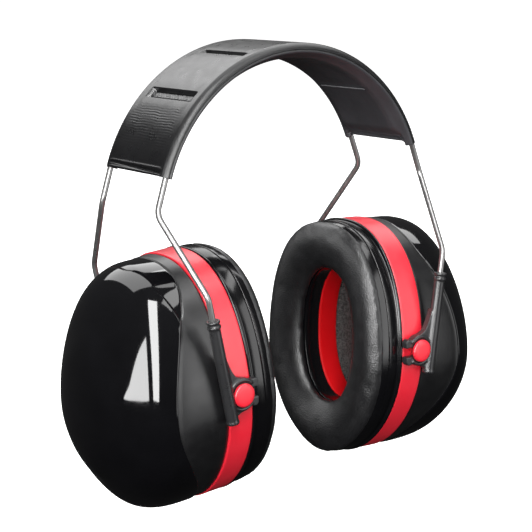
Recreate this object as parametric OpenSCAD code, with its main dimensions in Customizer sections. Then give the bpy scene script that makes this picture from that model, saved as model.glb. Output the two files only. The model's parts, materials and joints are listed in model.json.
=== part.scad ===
// Hearing protection earmuffs: two double-shell cups on a sprung headband.
// Origin: midpoint between the two cups at the height of their pivots.
// +X is the wearer's right ear, +Y is forward, +Z is up towards the crown.

/* [Headband] */
// Outer radius of the padded arc
band_radius = 74.15; // [70:0.05:80]
// Height of the arc's centre over the pivots
band_centre_z = 67.36; // [60:0.01:75]
// Angle from the top of the arc to each end
band_half_angle = 70.8; // [60:0.1:80]
// Distance from the middle of the band to each wire
wire_spacing = 21.7; // [18:0.1:24]
// Outer radius of the edge tunnels that hold the wires
tunnel_r = 2.4; // [2:0.05:3]
// Half-width of the padded middle
pad_half_width = 18.2; // [14:0.1:18.5]
// Radial thickness of the padded middle
pad_depth = 7; // [5.5:0.1:8]
// Thickness of the leatherette cover
cover_wall = 0.9; // [0.6:0.1:1.2]
// Size of the padded middle's bevelled edges
pad_edge = 1.4; // [1:0.1:2]
// Angles of the welded quilting grooves, on each side of the top
groove_angles = [18, 41.7]; // [10:1:60]
// Angular width of a groove
groove_width = 3.4; // [2:0.1:5]
// Depth of a groove
groove_depth = 0.5; // [0.2:0.1:0.6]

/* [Wires] */
// Diameter of the stainless spring wire
wire_d = 2.6; // [2:0.1:3]
// Centreline bend radius of the wire
bend_r = 8; // [4:0.5:9]
// Length of straight wire between the headband and the shoulder bend
shoulder_drop = 15.5; // [14:0.5:18]
// Height of the lower bend over the pivots
lower_bend_z = 43.9; // [42:0.1:46]
// Outer diameter of the swaged wire end, which stops the slide
stop_d = 3.4; // [3.2:0.1:3.6]

/* [Arms] */
// Distance of the arm tubes from the middle plane
arm_y = 45.2; // [45.2:0.05:46]
// Outward lean of the arm tubes
arm_lean = 10.2; // [8:0.1:12]
// Tube axis at pivot height, outboard of the pivot
arm_offset = 7.2; // [6.8:0.1:8]
// Outer diameter of the tube at its top
arm_top_d = 5.1; // [5:0.1:5.4]
// Outer diameter of the tube at its foot
arm_foot_d = 5.6; // [5.4:0.1:5.8]
// Height of the tube's mouth along its axis
arm_top = 34.8; // [32:0.1:36]
// Depth of the tube's foot along its axis
arm_foot = 12; // [11:0.1:14]
// How far the arm can slide down the wire, for larger heads
slide_down = 25; // [20:1:26]
// How far the arm can slide up the wire
slide_up = 5; // [2:0.5:5]

/* [Pivots] */
// Distance of the pivot axis from the middle of the head
pivot_x = 50; // [49:0.5:51]
// Distance of the pivot buttons' faces from the middle plane
button_face_y = 48; // [47.8:0.1:49]
// Diameter of a button's head
button_d = 10.2; // [9:0.1:11]
// Diameter of the round neck that the arm's eye turns on
neck_d = 6; // [5:0.1:7]
// Diameter of the spigot that is pressed into the inner casing
spigot_d = 4; // [3:0.1:4.5]
// Outer diameter of the arm's open eye
eye_d = 14.4; // [12:0.1:15]
// How far the eye's two claws reach inboard of the pivot
claw_reach = 8.2; // [7:0.1:9]
// Height of the gap between the claws
claw_gap = 4.2; // [3:0.1:5]
// Radial clearance of every running fit
running_gap = 0.05; // [0.03:0.01:0.1]

/* [Cups] */
// Inward lean of the cups' lower edges
cup_tilt = 3.55; // [0:0.05:6]
// Half-width of a cup
cup_half_width = 42; // [40:0.1:42]
// Height of the cup's top edge over its middle
cup_top = 61.7; // [58:0.1:64]
// Depth of the cup's bottom edge under its middle
cup_bottom = 50.1; // [48:0.1:54]
// Height of the cup's middle relative to the pivots
cup_middle_z = -6.5; // [-8:0.1:-4]
// Corner fullness of the cup's upper outline
top_power = 2.29; // [2:0.01:2.6]
// Corner fullness of the cup's lower outline
bottom_power = 1.81; // [1.7:0.01:2.2]
// Where the plate's outer face meets the cushion
plate_x = 35; // [34:0.1:36]
// Where the plate ends and the coloured inner casing starts
casing_x = 42.75; // [42:0.05:44]
// Where the inner casing ends and the outer shell starts
shell_x = 54.9; // [54:0.1:56]
// Depth of the outer shell's dome
dome_depth = 46.9; // [44:0.1:48]
// How late the dome closes over its depth: higher is boxier
dome_fullness = 4.37; // [3:0.01:5]
// Roundness of the dome's sides
dome_side_power = 2.18; // [1.5:0.01:3]
// Roundness of the dome's top and bottom
dome_end_power = 1.4; // [1:0.01:2]
// How far the dome's middle drops by its apex
dome_drop = 3.69; // [0:0.01:6]
// Wall thickness of the outer shell
shell_wall = 2.2; // [1.8:0.1:2.6]
// Wall thickness of the inner casing
casing_wall = 2.2; // [1.8:0.1:2.6]
// Distance from the cup's edge to the inner casing's chamber
chamber_inset = 8; // [6:0.5:10]
// Where the flange that joins the ring to the inner casing starts
flange_x = 46; // [45:0.5:48]
// Deepest point of the inner casing
casing_floor_x = 74; // [70:0.5:76]
// Where the plate's collar round the ear opening ends and the inner casing's sleeve starts
collar_end_x = 43.8; // [40:0.1:45]
// Where the inner casing's sleeve round the ear opening ends
sleeve_end_x = 55; // [50:0.5:58]
// Where the foam liner's floor lies
liner_floor_x = 60; // [58:0.5:64]

/* [Cushions] */
// Distance of the cushions' faces from the middle of the head
cushion_face_x = 26.5; // [26:0.1:28]
// Half-width of the ear opening
ear_half_width = 19.5; // [18:0.5:21]
// Half-height of the ear opening
ear_half_height = 31.5; // [30:0.5:34]
// Height of the ear opening's middle relative to the pivots
ear_middle_z = 0.5; // [-1:0.5:3]
// Thickness of the cushion's skin
skin = 0.8; // [0.6:0.1:1]

/* [Hidden] */
$fn = 64;
HEADBAND_NODES = ["headband_upper_cover", "headband_lower_cover", "headband_foam",
    "front_spring_wire", "rear_spring_wire"];
SIDES = ["left", "right"];
SIDE_PARTS = ["front_wire_leg", "rear_wire_leg", "front_arm", "rear_arm",
    "outer_shell", "damping_foam", "casing_ring", "inner_casing", "foam_liner", "cushion_plate",
    "cushion_skin", "cushion_filling", "front_pivot_button", "rear_pivot_button"];

GLOSS_BLACK = [0.03, 0.03, 0.035];
SATIN_BLACK = [0.10, 0.10, 0.11];
VINYL_BLACK = [0.07, 0.07, 0.075];
FOAM_GREY = [0.22, 0.22, 0.23];
SIGNAL_RED = [0.80, 0.06, 0.09];
STEEL = [0.75, 0.76, 0.78];

outline_steps = 48;
wire_radius = band_radius - tunnel_r;
pad_gap = 0.15;
groove_margin = 2;
ear_top_power = 2.3;
ear_bottom_power = 2.2;

// ---- Outlines and solids of general use ----

// Signed power, which shapes a superellipse
function bulge(v, power) = sign(v) * pow(abs(v), 2 / power);

// Closed outline as [y, z] points, with its own fullness above and below the middle
function oval(half_w, up, down, mid_z, p_up, p_down) = [
    for (i = [0 : outline_steps - 1])
        let (a = 360 * (i + 0.5) / outline_steps, p = sin(a) > 0 ? p_up : p_down)
            [half_w * bulge(cos(a), p), mid_z + (sin(a) > 0 ? up : down) * bulge(sin(a), p)]
];

// Outline of the cup, inset by a wall
function cup_outline(inset = 0) = oval(cup_half_width - inset, cup_top - inset,
    cup_bottom - inset, cup_middle_z, top_power, bottom_power);

// Outline of the ear opening, grown by a wall
function ear_outline(grow = 0) = oval(ear_half_width + grow, ear_half_height + grow,
    ear_half_height + grow, ear_middle_z, ear_top_power, ear_bottom_power);

// One outline part of the way to another, at distance x from the middle of the head
function between(a, b, share, x) = [for (i = [0 : len(a) - 1])
    [x, a[i][0] + (b[i][0] - a[i][0]) * share, a[i][1] + (b[i][1] - a[i][1]) * share]];

// Triangles that join ring a to ring b of a list of rings
function skirt(a, b, n) = [for (i = [0 : n - 1], half = [0, 1])
    let (j = (i + 1) % n)
        half == 0 ? [a * n + i, a * n + j, b * n + j] : [a * n + i, b * n + j, b * n + i]];

// Closed tube through rings, whose last ring joins the first
module ring_body(rings) {
    n = len(rings[0]);
    m = len(rings);
    polyhedron([for (r = rings) each r], [for (k = [0 : m - 1]) each skirt(k, (k + 1) % m, n)]);
}

// Bowl with a wall between its outer and inner rings, both listed from mouth to floor
module bowl(outer, inner) {
    n = len(outer[0]);
    path = concat([for (i = [len(inner) - 1 : -1 : 0]) inner[i]], outer);
    last = (len(path) - 1) * n;
    sides = [for (k = [0 : len(path) - 2]) each skirt(k, k + 1, n)];
    polyhedron([for (r = path) each r], concat(sides,
        [[for (i = [n - 1 : -1 : 0]) i]], [[for (i = [0 : n - 1]) last + i]]));
}

// Extrudes a [y, z] outline along X, from x0 to x1
module slab(x0, x1) {
    translate([x0, 0, 0]) rotate([90, 0, 90]) linear_extrude(x1 - x0) children();
}

// Places the right-hand cup, leaning about its pivot axis
module leaning() {
    translate([pivot_x, 0, 0]) rotate([0, cup_tilt, 0]) translate([-pivot_x, 0, 0]) children();
}

// Mirrors the right-hand side's children for the left
module on_side(side) {
    mirror([side == "left" ? 1 : 0, 0, 0]) children();
}

// Mirrors the rear half's children for the front
module at_end(end) {
    mirror([0, end == "front" ? 1 : 0, 0]) children();
}

// ---- Headband ----

// Turns a profile of [radius, width] points about the band's centre, between two angles from the top
module along_band(from, to) {
    translate([0, 0, band_centre_z]) rotate([90, 0, 0]) rotate([0, 0, 90 - to])
        rotate_extrude(angle = to - from, $fn = 180) children();
}

// Either cover lies within this distance of the wires' radius
cover_reach = 20;

// Outline of the padded middle, grown or shrunk
module pad_profile(grow) {
    outer = band_radius + grow;
    inner = band_radius - pad_depth - grow;
    half = pad_half_width + grow;
    flat = half - 2 * pad_edge;
    polygon([[inner, -flat], [inner + pad_edge, -half], [outer - pad_edge, -half], [outer, -flat],
        [outer, flat], [outer - pad_edge, half], [inner + pad_edge, half], [inner, flat]]);
}

// Cross-section of the whole cover: two wire tunnels, a web and the padded middle
module sleeve_profile() {
    difference() {
        union() {
            for (side = [-1, 1]) translate([wire_radius, side * wire_spacing]) circle(tunnel_r);
            translate([wire_radius - cover_wall, -wire_spacing]) square([2 * cover_wall, 2 * wire_spacing]);
            pad_profile(0);
        }
        for (side = [-1, 1])
            translate([wire_radius, side * wire_spacing]) circle(wire_d / 2 + running_gap);
        pad_profile(-cover_wall);
    }
}

// Shallow welds across the padded middle, cut from radius r
module grooves(r) {
    half = pad_half_width - groove_margin;
    for (angle = groove_angles, side = [-1, 1])
        along_band(side * angle - groove_width / 2, side * angle + groove_width / 2)
            translate([r, -half]) square([groove_depth, 2 * half]);
}

module headband_upper_cover() {
    color(VINYL_BLACK) difference() {
        along_band(-band_half_angle, band_half_angle) intersection() {
            sleeve_profile();
            translate([wire_radius, -wire_spacing * 2]) square([cover_reach, wire_spacing * 4]);
        }
        grooves(band_radius - groove_depth);
    }
}

module headband_lower_cover() {
    color(VINYL_BLACK) difference() {
        along_band(-band_half_angle, band_half_angle) intersection() {
            sleeve_profile();
            translate([wire_radius - cover_reach, -wire_spacing * 2]) square([cover_reach, wire_spacing * 4]);
        }
        grooves(band_radius - pad_depth);
    }
}

module headband_foam() {
    short = 1;
    color(FOAM_GREY) along_band(-band_half_angle + short, band_half_angle - short)
        pad_profile(-cover_wall - pad_gap);
}

module spring_wire(end) {
    color(STEEL) along_band(-band_half_angle, band_half_angle)
        translate([wire_radius, end == "front" ? -wire_spacing : wire_spacing]) circle(wire_d / 2, $fn = 24);
}

// ---- Wire legs ----

function unit(v) = v / norm(v);
function tube_point(along) = [pivot_x + arm_offset + along * sin(arm_lean), -arm_y, along * cos(arm_lean)];

band_end = [wire_radius * sin(band_half_angle), -wire_spacing,
    band_centre_z + wire_radius * cos(band_half_angle)];
band_end_way = [cos(band_half_angle), 0, -sin(band_half_angle)];
upper_bend = band_end + shoulder_drop * band_end_way;
lower_bend = tube_point(lower_bend_z / cos(arm_lean));
stop_low = -arm_foot + 1.4 + slide_up + 0.1;
stop_length = 2.4;
// A bend is drawn a hair thicker than the wire, and the straights reach this far into it
elbow_swell = 0.03;
elbow_reach = 0.3;

// Cylinder from p to q
module rod(p, q, r) {
    z = unit(q - p);
    x = unit(cross([0, 1, 0], z));
    y = cross(z, x);
    multmatrix([[x[0], y[0], z[0], p[0]], [x[1], y[1], z[1], p[1]], [x[2], y[2], z[2], p[2]]])
        cylinder(r = r, h = norm(q - p), $fn = 24);
}

// Length of straight wire that a bend takes up on each side of its corner
function bend_reach(p, q, s) = bend_r * tan(acos(unit(q - p) * unit(s - q)) / 2);

// Bend at corner q, coming from p and leaving for s
module elbow(p, q, s) {
    way = unit(q - p);
    turn = acos(way * unit(s - q));
    inward = unit(unit(s - q) - way * (way * unit(s - q)));
    start = q - way * bend_reach(p, q, s);
    centre = start + inward * bend_r;
    axis = cross(-inward, way);
    multmatrix([[-inward[0], way[0], axis[0], centre[0]], [-inward[1], way[1], axis[1], centre[1]],
        [-inward[2], way[2], axis[2], centre[2]]])
        rotate_extrude(angle = turn, $fn = 96)
            translate([bend_r, 0]) circle(wire_d / 2 + elbow_swell, $fn = 24);
}

module wire_leg() {
    low = tube_point(stop_low + stop_length);
    upper_reach = bend_reach(band_end, upper_bend, lower_bend) - elbow_reach;
    lower_reach = bend_reach(upper_bend, lower_bend, low) - elbow_reach;
    slant = unit(lower_bend - upper_bend);
    color(STEEL) {
        rod(band_end, upper_bend - band_end_way * upper_reach, wire_d / 2);
        elbow(band_end, upper_bend, lower_bend);
        rod(upper_bend + slant * upper_reach, lower_bend - slant * lower_reach, wire_d / 2);
        elbow(upper_bend, lower_bend, low);
        rod(tube_point(stop_low), tube_point(lower_bend_z / cos(arm_lean) - lower_reach), wire_d / 2);
        rod(tube_point(stop_low), low, stop_d / 2);
    }
}

// ---- Arms ----

eye_near = cup_half_width + 0.6;
eye_far = button_face_y - 2.2;
stop_top = stop_low + stop_length + slide_down + 0.1;
// The tube's mouth has two collars, and its foot a rim
collar_d = 5.9;
collar_h = 1.3;
collar_drops = [1.3, 3.4];
foot_rim_d = 5.7;
foot_rim_h = 1.6;
foot_wall = 1.4;
head_gap = 0.2;

// Round piece about the tube's axis, starting at a distance along it
module on_tube(along) {
    translate(tube_point(along)) rotate([0, arm_lean, 0]) children();
}

// Outline of the eye, its claws and the web that joins them to the tube, as [x, z]
module eye_outline() {
    claw = eye_d / 2 - 0.9;
    circle(d = eye_d);
    polygon([[-claw_reach, claw - 0.6], [-claw_reach + 1, claw], [0, eye_d / 2],
        [arm_offset + 2.6, 15], [arm_offset - 0.6, -9], [0, -eye_d / 2],
        [-claw_reach + 1, -claw], [-claw_reach, -claw + 0.6]]);
}

module arm() {
    color(SATIN_BLACK) difference() {
        union() {
            on_tube(-arm_foot) cylinder(d1 = arm_foot_d, d2 = arm_top_d, h = arm_top + arm_foot);
            for (drop = collar_drops) on_tube(arm_top - drop) cylinder(d = collar_d, h = collar_h);
            on_tube(-arm_foot) cylinder(d = foot_rim_d, h = foot_rim_h);
            translate([pivot_x, -eye_near, 0]) rotate([90, 0, 0])
                linear_extrude(eye_far - eye_near) eye_outline();
        }
        on_tube(-arm_foot + foot_wall) cylinder(d = stop_d + 0.2, h = stop_top + arm_foot - foot_wall);
        on_tube(0) cylinder(d = wire_d + 2 * running_gap, h = arm_top + 1);
        translate([pivot_x, -eye_near + 1, 0]) rotate([90, 0, 0])
            cylinder(d = neck_d + 2 * running_gap, h = arm_y);
        translate([pivot_x, -eye_far, 0]) rotate([90, 0, 0])
            cylinder(d = button_d + 2 * head_gap, h = arm_y);
        translate([pivot_x - eye_d, -button_face_y, -claw_gap / 2])
            cube([eye_d, button_face_y - eye_near + 1, claw_gap]);
    }
}

// ---- Pivot buttons ----

// How far the spigot reaches into the casing ring, and the head's thickness
spigot_depth = 5;
head_h = 2;
boss_y = cup_half_width + 0.3;

module pivot_button() {
    neck_top = button_face_y - head_h;
    color(SIGNAL_RED) translate([pivot_x, 0, 0]) rotate([90, 0, 0]) rotate_extrude()
        polygon([[0, boss_y - spigot_depth], [spigot_d / 2, boss_y - spigot_depth],
            [spigot_d / 2, boss_y], [neck_d / 2, boss_y], [neck_d / 2, neck_top],
            [button_d / 2, neck_top], [button_d / 2, button_face_y - 0.8],
            [button_d / 2 - 0.5, button_face_y - 0.3], [button_d / 2 - 1.4, button_face_y],
            [0, button_face_y]]);
}

// ---- Cup ----

// Over the dome's depth its top grows, its bottom shrinks and its outline rounds off by these
top_growth = 0.04;
bottom_loss = 0.1;
top_rounding = 0.52;
bottom_rounding = 0.11;

// Outline of the dome at a share of its depth, inset by a wall
function dome_ring(share, wall, reach) =
    let (left = 1 - pow(share, dome_fullness), across = pow(left, 1 / dome_side_power),
        upward = pow(left, 1 / dome_end_power))
        [for (p = oval(cup_half_width * across - wall, cup_top * upward * (1 + top_growth * share) - wall,
            cup_bottom * upward * (1 - bottom_loss * share) - wall, cup_middle_z - dome_drop * share,
            top_power - top_rounding * share, bottom_power + bottom_rounding * share))
                [shell_x + reach * share, p[0], p[1]]];

module outer_shell() {
    outside = [0, 0.2, 0.4, 0.55, 0.68, 0.78, 0.86, 0.92, 0.96, 0.985, 0.996];
    inside = [0, 0.3, 0.5, 0.65, 0.78, 0.88, 0.94];
    color(GLOSS_BLACK) bowl([for (s = outside) dome_ring(s, 0, dome_depth)],
        [for (s = inside) dome_ring(s, shell_wall, dome_depth - shell_wall)]);
}

// Flat plate between two outlines, which are its children
module plate(x0, x1) {
    slab(x0, x1) difference() {
        children(0);
        children(1);
    }
}

flange_t = 2;
ear_gap = 0.5;
collar_clear = 0.2;
weld_gap = 0.05;
boss_d = 9;
boss_h = 6.5;
hole_end = 6.2;

// Ring round the cup, with the flange that the inner casing is welded to and a boss for each pivot
module casing_ring() {
    color(SIGNAL_RED) difference() {
        union() {
            plate(casing_x, shell_x) { polygon(cup_outline()); polygon(cup_outline(casing_wall)); }
            plate(flange_x, flange_x + flange_t) {
                polygon(cup_outline(casing_wall / 2));
                polygon(cup_outline(chamber_inset - weld_gap));
            }
            for (side = [-1, 1]) translate([pivot_x, side * boss_y, 0]) rotate([side * 90, 0, 0])
                cylinder(d = boss_d, h = boss_h);
        }
        for (side = [-1, 1]) translate([pivot_x, side * (boss_y + 1), 0]) rotate([side * 90, 0, 0])
            cylinder(d = spigot_d, h = hole_end);
    }
}

// Chamber behind the ear, with the sleeve that lines the ear opening
module inner_casing() {
    deck_end = flange_x + flange_t;
    color(SIGNAL_RED) {
        plate(flange_x, deck_end) { polygon(cup_outline(chamber_inset)); polygon(ear_outline(ear_gap)); }
        plate(collar_end_x + collar_clear, sleeve_end_x) {
            polygon(ear_outline(ear_gap + casing_wall));
            polygon(ear_outline(ear_gap));
        }
        plate(flange_x, casing_floor_x) {
            polygon(cup_outline(chamber_inset));
            polygon(cup_outline(chamber_inset + casing_wall));
        }
        slab(casing_floor_x - casing_wall, casing_floor_x) polygon(cup_outline(chamber_inset + 0.5));
    }
}

module foam_liner() {
    deck_end = flange_x + flange_t;
    color(FOAM_GREY) difference() {
        slab(deck_end + 0.2, casing_floor_x - casing_wall - 0.2)
            polygon(cup_outline(chamber_inset + casing_wall + 0.4));
        slab(deck_end, liner_floor_x) polygon(ear_outline(3));
    }
}

module damping_foam() {
    thickness = 8.8;
    color(FOAM_GREY) slab(casing_floor_x + 0.2, casing_floor_x + 0.2 + thickness) polygon(cup_outline(12));
}

// Plate that the cushion snaps onto, with a lip next to the ring and a collar round the ear opening
module cushion_plate() {
    inset = 0.5;
    wall = 2.1;
    face_t = 1.8;
    lip_h = 1.4;
    color(GLOSS_BLACK) {
        plate(plate_x, casing_x) { polygon(cup_outline(inset)); polygon(cup_outline(inset + wall)); }
        plate(plate_x, plate_x + face_t) { polygon(cup_outline(inset)); polygon(ear_outline(ear_gap)); }
        plate(plate_x, collar_end_x) {
            polygon(ear_outline(ear_gap + casing_wall));
            polygon(ear_outline(ear_gap));
        }
        plate(casing_x - lip_h, casing_x) {
            polygon(cup_outline(-0.3));
            polygon(cup_outline(inset + wall / 2));
        }
    }
}

// Stations round the cushion's section as [share from rim to ear opening, distance from its face]
cushion_stations = [[0.015, 8.5], [0, 6.4], [0.01, 4.2], [0.06, 2.2], [0.16, 0.7], [0.3, 0],
    [0.62, 0], [0.76, 0.5], [0.89, 1.9], [0.97, 4], [1, 6.4], [0.99, 8.5]];

// How much flatter the inside of the skin and the filling are than the cushion's face
skin_flattening = 0.8;
filling_flattening = 0.72;
filling_gap = 0.3;

module cushion_skin() {
    outer = [for (s = cushion_stations)
        between(cup_outline(0), ear_outline(0), s[0], cushion_face_x + s[1])];
    inner = [for (s = cushion_stations) between(cup_outline(skin), ear_outline(skin), s[0],
        cushion_face_x + skin + s[1] * skin_flattening)];
    color(VINYL_BLACK) difference() {
        ring_body(outer);
        ring_body(inner);
    }
}

module cushion_filling() {
    inset = skin + filling_gap;
    color(FOAM_GREY) ring_body([for (s = cushion_stations) between(cup_outline(inset),
        ear_outline(inset), s[0], cushion_face_x + inset + s[1] * filling_flattening)]);
}

// ---- Assembly ----

// Draws one piece of a side, where it stands
module side_part(side, part) {
    end = part[0] == "f" ? "front" : "rear";
    on_side(side) {
        if (part == "front_wire_leg" || part == "rear_wire_leg") at_end(end) wire_leg();
        if (part == "front_arm" || part == "rear_arm") at_end(end) arm();
        leaning() {
            if (part == "outer_shell") outer_shell();
            if (part == "damping_foam") damping_foam();
            if (part == "casing_ring") casing_ring();
            if (part == "inner_casing") inner_casing();
            if (part == "foam_liner") foam_liner();
            if (part == "cushion_plate") cushion_plate();
            if (part == "cushion_skin") cushion_skin();
            if (part == "cushion_filling") cushion_filling();
            if (part == "front_pivot_button" || part == "rear_pivot_button") at_end(end) pivot_button();
        }
    }
}

headband_upper_cover();
headband_lower_cover();
headband_foam();
spring_wire("front");  // front_spring_wire
spring_wire("rear");  // rear_spring_wire
for (side = SIDES, part = SIDE_PARTS)
    side_part(side, part);
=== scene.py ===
import json
import math

import bmesh
import bpy
import numpy as np
from mathutils import Matrix, Quaternion, Vector


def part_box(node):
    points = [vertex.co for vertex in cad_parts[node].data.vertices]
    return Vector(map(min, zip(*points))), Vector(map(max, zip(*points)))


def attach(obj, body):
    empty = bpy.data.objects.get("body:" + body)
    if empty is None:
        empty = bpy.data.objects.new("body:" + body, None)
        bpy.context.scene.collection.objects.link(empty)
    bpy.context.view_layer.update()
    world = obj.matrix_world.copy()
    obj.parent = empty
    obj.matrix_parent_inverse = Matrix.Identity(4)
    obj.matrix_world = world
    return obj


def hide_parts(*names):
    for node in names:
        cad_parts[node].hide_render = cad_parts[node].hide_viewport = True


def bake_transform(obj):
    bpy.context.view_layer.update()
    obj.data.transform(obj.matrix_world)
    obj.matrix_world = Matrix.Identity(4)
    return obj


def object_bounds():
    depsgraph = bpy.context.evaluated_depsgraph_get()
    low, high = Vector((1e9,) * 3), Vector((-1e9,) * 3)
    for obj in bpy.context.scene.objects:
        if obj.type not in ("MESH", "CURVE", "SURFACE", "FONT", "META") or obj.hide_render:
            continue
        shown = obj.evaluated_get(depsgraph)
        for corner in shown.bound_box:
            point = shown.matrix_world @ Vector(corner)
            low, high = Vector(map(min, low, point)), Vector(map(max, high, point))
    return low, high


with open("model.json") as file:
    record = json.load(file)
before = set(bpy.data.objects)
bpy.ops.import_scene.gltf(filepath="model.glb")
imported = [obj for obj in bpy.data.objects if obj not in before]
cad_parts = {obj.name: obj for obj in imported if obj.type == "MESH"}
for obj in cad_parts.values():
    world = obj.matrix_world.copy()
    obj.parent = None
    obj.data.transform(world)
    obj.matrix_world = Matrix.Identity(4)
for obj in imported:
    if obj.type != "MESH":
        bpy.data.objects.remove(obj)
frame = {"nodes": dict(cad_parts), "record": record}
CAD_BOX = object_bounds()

# Hearing protection earmuffs. Shapes are worked out in millimetres, for the right-hand
# side, and mirrored for the left. MM turns them into the frame's metres.
MM = 0.001
SIDES = ("left", "right")
SIGN = {"left": -1, "right": 1}
ENDS = ("front", "rear")

# ---- What the frame says ----

record = frame["record"]
JOINTS = {j["name"]: j for j in record["behaviour"]["joints"]}
MOUNTS = {m["name"]: m for m in record["mounts"]}
PIVOT_X = JOINTS["right_cup_tilt"]["pos_m"][0] / MM
FACE_WAY = MOUNTS["right_cushion_face"]["axis"]
CUP_LEAN = math.atan2(FACE_WAY[2], -FACE_WAY[0])
SLIDE_WAY = JOINTS["right_height_slide"]["axis"]
ARM_LEAN = math.atan2(-SLIDE_WAY[0], -SLIDE_WAY[2])


def vertices(obj):
    """An object's vertices, in metres."""
    return np.array([v.co for v in obj.data.vertices])


def cup_box(node):
    """Lowest and highest corners of a right-hand cup node, stood upright."""
    p = vertices(frame["nodes"][node]) / MM
    c, s = math.cos(CUP_LEAN), math.sin(CUP_LEAN)
    x = PIVOT_X + (p[:, 0] - PIVOT_X) * c - p[:, 2] * s
    z = (p[:, 0] - PIVOT_X) * s + p[:, 2] * c
    q = np.stack([x, p[:, 1], z], 1)
    return q.min(0), q.max(0)


SHELL_LOW, SHELL_HIGH = cup_box("right_outer_shell")
PLATE_LOW, PLATE_HIGH = cup_box("right_cushion_plate")
CASING_LOW, CASING_HIGH = cup_box("right_inner_casing")
LINER_LOW, LINER_HIGH = cup_box("right_foam_liner")

# Where each layer of the cup starts, from the cushion's face outwards
FACE_X = cup_box("right_cushion_skin")[0][0]
PLATE_X = PLATE_LOW[0]
RING_X = cup_box("right_casing_ring")[0][0]
SHELL_X = SHELL_LOW[0]
DOME_DEPTH = SHELL_HIGH[0] - SHELL_X
COLLAR_END, SLEEVE_END = PLATE_HIGH[0], 55.0

# The cup's outline, widest at CUP_MID, and the ear opening's half width, half height and middle
CUP_W = SHELL_HIGH[1]
CUP_MID = -6.5
CUP_UP, CUP_DOWN = SHELL_HIGH[2] - CUP_MID, CUP_MID - SHELL_LOW[2]
EAR_W, EAR_H, EAR_MID = 19.5, 31.5, 0.5

# The headband's outer radius, half angle, pad and wires
band_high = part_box("headband_upper_cover")[1]
wire_low, wire_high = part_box("rear_spring_wire")
WIRE_R = (wire_high.y - wire_low.y) / MM / 2
WIRE_Y = -(wire_high.y + wire_low.y) / MM / 2
TUNNEL_R = band_high.y / MM - WIRE_Y
BAND_R = 74.15
BAND_Z = band_high.z / MM - BAND_R
BAND_HALF = math.radians(70.8)
WIRE_RADIUS = BAND_R - TUNNEL_R
PAD_W, PAD_DEPTH = 18.2, 7.0


# ---- Mesh building ----

def new_object(name, data):
    obj = bpy.data.objects.new(name, data)
    bpy.context.collection.objects.link(obj)
    return obj


def closed_mesh(name, points, faces):
    """An object from points in millimetres, its faces turned outwards."""
    mesh = bpy.data.meshes.new(name)
    mesh.from_pydata((np.asarray(points) * MM).tolist(), [], [list(f) for f in faces])
    turning = bmesh.new()
    turning.from_mesh(mesh)
    bmesh.ops.recalc_face_normals(turning, faces=turning.faces)
    turning.to_mesh(mesh)
    turning.free()
    return new_object(name, mesh)


def joined(name, parts):
    """One object from several closed solids, each given as points and faces."""
    points, faces = [], []
    for p, f in parts:
        faces += [[len(points) + i for i in face] for face in f]
        points += np.asarray(p).tolist()
    return closed_mesh(name, points, faces)


def mesh_piece(name, points, faces, material, more=(), faces_of=None):
    """A smooth-shaded closed piece. faces_of lists each face's material."""
    obj = closed_mesh(name, points, faces)
    for m in (material, *more):
        obj.data.materials.append(m)
    if faces_of is not None:
        obj.data.polygons.foreach_set("material_index", faces_of)
    obj.data.polygons.foreach_set("use_smooth", [True] * len(obj.data.polygons))
    return obj


def loft(rings, poles=True):
    """Points and faces of a skin through rings. It closes on end poles, or on itself."""
    rings = np.asarray(rings, float)
    rows, n = rings.shape[:2]
    points = rings.reshape(-1, 3)
    faces = []
    for k in range(rows - 1 if poles else rows):
        a, b = k * n, ((k + 1) % rows) * n
        for i in range(n):
            j = (i + 1) % n
            faces.append((a + i, a + j, b + j, b + i))
    if poles:
        middle = [rings[0].mean(0), rings[-1].mean(0)]
        points = np.vstack([points, middle])
        for pole, row in ((rows * n, 0), (rows * n + 1, rows - 1)):
            for i in range(n):
                faces.append((pole, row * n + i, row * n + (i + 1) % n))
    return points, faces


def place(points, side, lean=True):
    """Right-hand upright points, leaned with the cup and mirrored for the left side."""
    p = np.array(points, float)
    if lean:
        c, s = math.cos(CUP_LEAN), math.sin(CUP_LEAN)
        x = PIVOT_X + (p[:, 0] - PIVOT_X) * c + p[:, 2] * s
        z = -(p[:, 0] - PIVOT_X) * s + p[:, 2] * c
        p[:, 0], p[:, 2] = x, z
    if side == "left":
        p[:, 0] = -p[:, 0]
    return p


# Points round each cup outline, and the fullness of its upper and lower half (2 is an ellipse)
AROUND = 240
TURN = (np.arange(AROUND) + 0.5) * 2 * math.pi / AROUND
CUP_FULLNESS, EAR_FULLNESS = (2.29, 1.81), (2.3, 2.2)


def smooth_step(v):
    """0 up to 0, 1 from 1 on, and smooth between."""
    v = np.clip(v, 0, 1)
    return v * v * (3 - 2 * v)


def bulge(v, power):
    return np.sign(v) * np.abs(v) ** (2 / power)


def oval(x, half_w, up, down, mid, fullness):
    """Closed outline at distance x, reaching up and down from its middle, with its own fullness each way."""
    high = np.sin(TURN) > 0
    p = np.where(high, *fullness)
    h = np.where(high, up, down)
    y, z = half_w * bulge(np.cos(TURN), p), mid + h * bulge(np.sin(TURN), p)
    return np.stack([np.full(AROUND, x), y, z], 1)


def cup_ring(x, inset=0.0):
    return oval(x, CUP_W - inset, CUP_UP - inset, CUP_DOWN - inset, CUP_MID, CUP_FULLNESS)


def ear_ring(x, grow=0.0):
    return oval(x, EAR_W + grow, EAR_H + grow, EAR_H + grow, EAR_MID, EAR_FULLNESS)


def shrink(ring, share, x):
    """A ring shrunk towards its middle, at distance x."""
    middle = ring.mean(0)
    out = middle + (ring - middle) * share
    out[:, 0] = x
    return out


def lathe(profile, steps=64):
    """Rings of a turned shape about the Z axis, from (radius, height) pairs."""
    a = np.arange(steps) * 2 * math.pi / steps
    return np.array([np.stack([r * np.cos(a), r * np.sin(a), np.full(steps, h)], 1)
                     for r, h in profile])


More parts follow.
